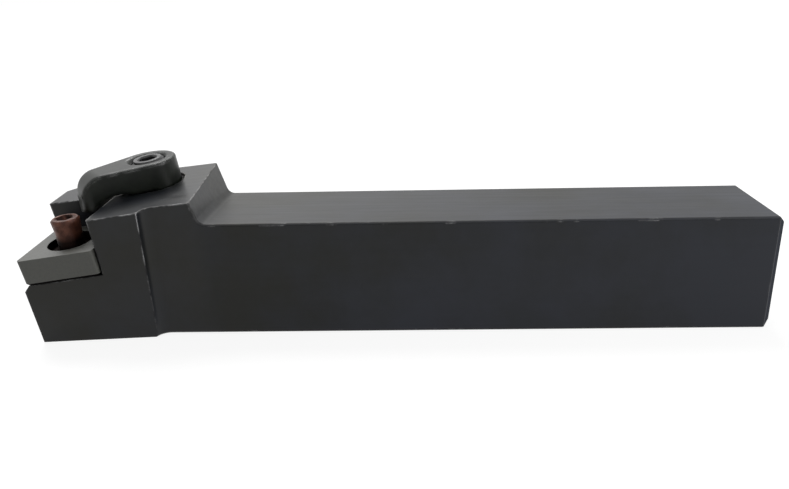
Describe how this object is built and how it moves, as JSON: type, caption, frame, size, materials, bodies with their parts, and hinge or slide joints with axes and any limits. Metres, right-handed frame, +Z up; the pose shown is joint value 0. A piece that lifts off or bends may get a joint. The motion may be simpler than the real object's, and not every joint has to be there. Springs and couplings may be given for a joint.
{
  "type": "turning tool holder",
  "caption": "Square-shank turning tool holder with a tilted rhombic insert pocket, shim, lock pin and top clamp with screw; no insert fitted.",
  "frame": {"origin": "on the base, on the shank's centre line, half way along the tool", "axes": "+X towards the shank's tail, -Y towards the cutting side, +Z up"},
  "size_m": [0.1267, 0.0242, 0.0292],
  "materials": {
    "body_steel": "satin",
    "shim_carbide": "matte",
    "pin_steel": "satin",
    "clamp_steel": "satin",
    "screw_steel": "satin"
  },
  "bodies": {
    "root": {"holder": "body_steel", "shim": "shim_carbide"},
    "lock_pin": {"lock_pin": "pin_steel"},
    "clamp": {"clamp": "clamp_steel"},
    "clamp_screw": {"clamp_screw": "screw_steel"}
  },
  "joints": [
    {"name": "clamp_screw_turn", "type": "hinge", "parent": "root", "child": "clamp_screw", "pos_m": [-0.04475, 0.003, 0.02409], "axis": [-0.104, -0.104, 0.9891], "range_deg": [0, 720]},
    {"name": "clamp_lift", "type": "slide", "parent": "root", "child": "clamp", "axis": [-0.104, -0.104, 0.9891], "range_m": [0, 0.004]},
    {"name": "lock_pin_turn", "type": "hinge", "parent": "root", "child": "lock_pin", "pos_m": [-0.05646, -0.00768, 0.01673], "axis": [-0.0523, -0.0523, 0.9973], "range_deg": [0, 720]}
  ],
  "couplings": [
    {"joint": "clamp_screw_turn", "follows": "clamp_lift", "rad_per_m": 3141.6}
  ]
}
